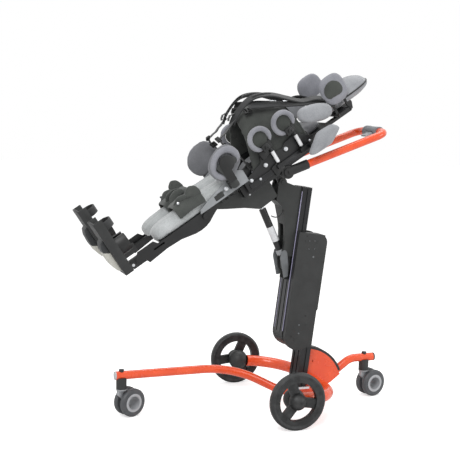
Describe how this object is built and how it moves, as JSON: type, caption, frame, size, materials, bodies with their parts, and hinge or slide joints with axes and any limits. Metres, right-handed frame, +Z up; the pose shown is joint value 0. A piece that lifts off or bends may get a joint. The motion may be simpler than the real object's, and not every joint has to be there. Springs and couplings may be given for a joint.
{
  "type": "pediatric standing frame",
  "caption": "Wheeled standing frame for a child: a leaning lift column carries a tilting padded body, leg and foot support with a push bow.",
  "frame": {"origin": "middle of the floor outline, on the floor", "axes": "+Z up, +X towards the head end and the push bow, +Y towards the far side of the usual side view"},
  "size_m": [1.1749, 0.6814, 1.2084],
  "materials": {
    "anodised": "black anodised extrusion",
    "black_metal": "satin black powder coat",
    "cable": "black cable sheath",
    "caster": "grey tread on a light grey core",
    "cloth": "dark grey upholstery",
    "grey_plastic": "light grey moulded plastic",
    "grip_rubber": "grey grip",
    "pad": "light grey upholstery",
    "plates": "dark grey textured coat",
    "shell": "dark moulded plastic",
    "steel": "plain steel",
    "tubes": "gloss orange-red powder coat",
    "webbing": "black webbing",
    "wheel": "black moulded wheel with a dark tyre"
  },
  "bodies": {
    "base": {"spine_tube": "tubes", "cross_tube": "tubes", "gusset": "tubes", "caps_and_trim": "black_metal", "caster_sockets": "shell", "lower_column": "anodised", "mast_foot": "steel"},
    "big_wheel_near": {"wheel_near": "wheel"},
    "big_wheel_far": {"wheel_far": "wheel"},
    "front_fork": {"caster_fork_front": "grey_plastic"},
    "rear_fork": {"caster_fork_rear": "grey_plastic"},
    "front_caster_near": {"caster_wheel_front_near": "caster"},
    "front_caster_far": {"caster_wheel_front_far": "caster"},
    "rear_caster_near": {"caster_wheel_rear_near": "caster"},
    "rear_caster_far": {"caster_wheel_rear_far": "caster"},
    "lift": {"upper_column": "anodised", "cover_near": "shell", "cover_far": "shell", "column_end_caps": "shell", "glide_blocks": "shell", "fin_bracket": "plates"},
    "spring_tube": {"gas_cylinder": "black_metal", "release_cable": "cable"},
    "spring_rod": {"gas_rod": "steel"},
    "body_support": {"seat_frame": "black_metal", "belly_plates": "plates", "body_cushion": "pad", "vest": "cloth", "shoulder_cushions": "pad", "harness_straps": "webbing"},
    "bow": {"push_bow": "tubes", "bow_joints": "shell", "grip": "grip_rubber"},
    "lever": {"grip_lever": "grey_plastic"},
    "head": {"head_bracket": "black_metal", "head_cushion": "pad"},
    "head_side_near": {"head_pad_near": "pad"},
    "head_side_far": {"head_pad_far": "pad"},
    "trunk_near_low": {"trunk_pad_near_low": "pad"},
    "trunk_near_high": {"trunk_pad_near_high": "pad"},
    "trunk_far_low": {"trunk_pad_far_low": "pad"},
    "trunk_far_high": {"trunk_pad_far_high": "pad"},
    "arm_near": {"arm_pad_near": "pad"},
    "arm_far": {"arm_pad_far": "pad"},
    "leg_near": {"leg_rail_near": "black_metal", "leg_cushion_near": "pad", "side_plate_near": "grey_plastic", "knee_wrap_near": "cloth"},
    "hip_near": {"hip_pad_near": "pad"},
    "carriage_near": {"foot_carriage_near": "shell"},
    "foot_near": {"foot_plate_near": "shell", "foot_support_near": "shell"},
    "leg_far": {"leg_rail_far": "black_metal", "leg_cushion_far": "pad", "side_plate_far": "grey_plastic", "knee_wrap_far": "cloth"},
    "hip_far": {"hip_pad_far": "pad"},
    "carriage_far": {"foot_carriage_far": "shell"},
    "foot_far": {"foot_plate_far": "shell", "foot_support_far": "shell"}
  },
  "joints": [
    {"name": "wheel_spin_near", "type": "hinge", "parent": "base", "child": "big_wheel_near", "pos_m": [0.0944, -0.31, 0.1], "axis": [0, 1, 0], "continuous": true},
    {"name": "wheel_spin_far", "type": "hinge", "parent": "base", "child": "big_wheel_far", "pos_m": [0.0944, 0.31, 0.1], "axis": [0, 1, 0], "continuous": true},
    {"name": "front_swivel", "type": "hinge", "parent": "base", "child": "front_fork", "pos_m": [-0.4416, 0, 0.05], "axis": [0, 0, 1], "continuous": true},
    {"name": "rear_swivel", "type": "hinge", "parent": "base", "child": "rear_fork", "pos_m": [0.4994, 0, 0.05], "axis": [0, 0, 1], "continuous": true},
    {"name": "front_caster_spin_near", "type": "hinge", "parent": "front_fork", "child": "front_caster_near", "pos_m": [-0.40915, 0.01311, 0.05], "axis": [-0.3746, 0.9272, 0], "continuous": true},
    {"name": "front_caster_spin_far", "type": "hinge", "parent": "front_fork", "child": "front_caster_far", "pos_m": [-0.40915, 0.01311, 0.05], "axis": [-0.3746, 0.9272, 0], "continuous": true},
    {"name": "rear_caster_spin_near", "type": "hinge", "parent": "rear_fork", "child": "rear_caster_near", "pos_m": [0.53363, 0.00728, 0.05], "axis": [-0.2079, 0.9781, 0], "continuous": true},
    {"name": "rear_caster_spin_far", "type": "hinge", "parent": "rear_fork", "child": "rear_caster_far", "pos_m": [0.53363, 0.00728, 0.05], "axis": [-0.2079, 0.9781, 0], "continuous": true},
    {"name": "column_lift", "type": "slide", "parent": "base", "child": "lift", "axis": [0.1253, 0, 0.9921], "range_m": [-0.12, 0.1]},
    {"name": "body_tilt", "type": "hinge", "parent": "lift", "child": "body_support", "pos_m": [0.13842, 0, 0.82195], "axis": [0, -1, 0], "range_deg": [-33.5, 46.5]},
    {"name": "spring_swing", "type": "hinge", "parent": "lift", "child": "spring_tube", "pos_m": [0.15838, 0, 0.54194], "axis": [0, -1, 0], "range_deg": [-8, 10]},
    {"name": "spring_stroke", "type": "slide", "parent": "spring_tube", "child": "spring_rod", "axis": [-0.4245, 0, 0.9054], "range_m": [-0.09, 0.065]},
    {"name": "bow_turn", "type": "hinge", "parent": "body_support", "child": "bow", "pos_m": [0.1208, 0, 0.86306], "axis": [0, -1, 0], "range_deg": [-30, 14]},
    {"name": "lever_squeeze", "type": "hinge", "parent": "bow", "child": "lever", "pos_m": [0.48394, 0, 0.99451], "axis": [0, -1, 0], "range_deg": [-10, 10]},
    {"name": "head_slide", "type": "slide", "parent": "body_support", "child": "head", "axis": [0.8339, 0, 0.5519], "range_m": [0, 0.045]},
    {"name": "head_side_near_swing", "type": "hinge", "parent": "head", "child": "head_side_near", "pos_m": [0.34505, -0.085, 1.07504], "axis": [-0.8339, 0, -0.5519], "range_deg": [-60, 0]},
    {"name": "trunk_near_low_swing", "type": "hinge", "parent": "body_support", "child": "trunk_near_low", "pos_m": [0.0407, -0.121, 0.96234], "axis": [0.5519, 0, -0.8339], "range_deg": [-50, 0]},
    {"name": "trunk_near_high_swing", "type": "hinge", "parent": "body_support", "child": "trunk_near_high", "pos_m": [0.12576, -0.121, 1.01864], "axis": [0.5519, 0, -0.8339], "range_deg": [-50, 0]},
    {"name": "arm_near_turn", "type": "hinge", "parent": "body_support", "child": "arm_near", "pos_m": [0.2093, -0.138, 0.95401], "axis": [0, -1, 0], "range_deg": [-20, 20]},
    {"name": "leg_near_spread", "type": "hinge", "parent": "body_support", "child": "leg_near", "pos_m": [-0.0469, -0.058, 0.80842], "axis": [0.5519, 0, -0.8339], "range_deg": [-15, 0]},
    {"name": "hip_near_slide", "type": "slide", "parent": "leg_near", "child": "hip_near", "axis": [0.8339, 0, 0.5519], "range_m": [-0.02, 0.02]},
    {"name": "foot_near_slide", "type": "slide", "parent": "leg_near", "child": "carriage_near", "axis": [0.8339, 0, 0.5519], "range_m": [-0.01, 0.025]},
    {"name": "foot_near_tilt", "type": "hinge", "parent": "carriage_near", "child": "foot_near", "pos_m": [-0.4255, -0.086, 0.55424], "axis": [0, -1, 0], "range_deg": [-20, 20]},
    {"name": "head_side_far_swing", "type": "hinge", "parent": "head", "child": "head_side_far", "pos_m": [0.34505, 0.085, 1.07504], "axis": [0.8339, 0, 0.5519], "range_deg": [-60, 0]},
    {"name": "trunk_far_low_swing", "type": "hinge", "parent": "body_support", "child": "trunk_far_low", "pos_m": [0.0407, 0.121, 0.96234], "axis": [-0.5519, 0, 0.8339], "range_deg": [-50, 0]},
    {"name": "trunk_far_high_swing", "type": "hinge", "parent": "body_support", "child": "trunk_far_high", "pos_m": [0.12576, 0.121, 1.01864], "axis": [-0.5519, 0, 0.8339], "range_deg": [-50, 0]},
    {"name": "arm_far_turn", "type": "hinge", "parent": "body_support", "child": "arm_far", "pos_m": [0.2093, 0.138, 0.95401], "axis": [0, -1, 0], "range_deg": [-20, 20]},
    {"name": "leg_far_spread", "type": "hinge", "parent": "body_support", "child": "leg_far", "pos_m": [-0.0469, 0.058, 0.80842], "axis": [-0.5519, 0, 0.8339], "range_deg": [-15, 0]},
    {"name": "hip_far_slide", "type": "slide", "parent": "leg_far", "child": "hip_far", "axis": [0.8339, 0, 0.5519], "range_m": [-0.02, 0.02]},
    {"name": "foot_far_slide", "type": "slide", "parent": "leg_far", "child": "carriage_far", "axis": [0.8339, 0, 0.5519], "range_m": [-0.01, 0.025]},
    {"name": "foot_far_tilt", "type": "hinge", "parent": "carriage_far", "child": "foot_far", "pos_m": [-0.4255, 0.086, 0.55424], "axis": [0, -1, 0], "range_deg": [-20, 20]}
  ],
  "couplings": [
    {"joint": "spring_swing", "follows": "body_tilt", "ratio": 0.135},
    {"joint": "spring_stroke", "follows": "body_tilt", "m_per_rad": -0.10197}
  ]
}
